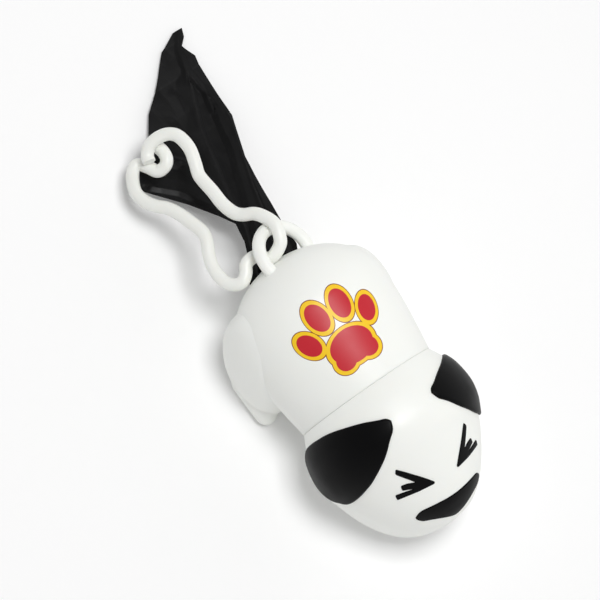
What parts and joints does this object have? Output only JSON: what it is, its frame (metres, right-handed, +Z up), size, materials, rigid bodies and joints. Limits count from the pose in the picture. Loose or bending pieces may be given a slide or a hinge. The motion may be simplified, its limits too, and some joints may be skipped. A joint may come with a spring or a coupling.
{
  "type": "dog poop bag dispenser",
  "caption": "Puppy-shaped two-shell dispenser for a roll of pet-waste bags, with a curled tail ring and a hooked bone-shaped clip.",
  "frame": {"origin": "on the ground, under the middle of the flat on the belly that the dispenser rests on", "axes": "+Z up, -Y out of the face along the shells' common axis, X across, with X = 0 the shells' plane of symmetry"},
  "size_m": [0.0518, 0.1596, 0.0472],
  "materials": {
    "shell": "satin moulded white plastic",
    "clip": "satin moulded white plastic",
    "black_trim": "satin black",
    "film": "thin black bag film",
    "core": "plain tube"
  },
  "bodies": {
    "case": {"rear_shell": "shell", "spigot": "shell", "left_leg": "shell", "right_leg": "shell", "tail_ring": "shell", "next_bag": "film"},
    "head": {"head_shell": "shell", "left_ear": "black_trim", "right_ear": "black_trim", "left_eye": "black_trim", "right_eye": "black_trim", "nose": "black_trim"},
    "roll": {"roll_core": "core", "bag_roll": "film"},
    "clip": {"clip_frame": "clip"},
    "clip_arm": {"clip_arm": "clip"}
  },
  "joints": [
    {"name": "head_pull", "type": "slide", "parent": "case", "child": "head", "axis": [0, -1, 0], "range_m": [0, 0.03]},
    {"name": "roll_spin", "type": "hinge", "parent": "case", "child": "roll", "pos_m": [0, 0, 0.0215], "axis": [0, 1, 0], "continuous": true},
    {"name": "clip_swing", "type": "hinge", "parent": "case", "child": "clip", "pos_m": [-0.00474, 0.02478, 0.02779], "axis": [0.8831, 0.19, 0.429], "range_deg": [0, 100]},
    {"name": "clip_flex", "type": "hinge", "parent": "clip", "child": "clip_arm", "pos_m": [-0.0031, 0.03907, 0.02669], "axis": [0.8153, 0.5045, 0.2844], "range_deg": [0, 12], "stiffness_Nm_per_rad": 0.4}
  ]
}
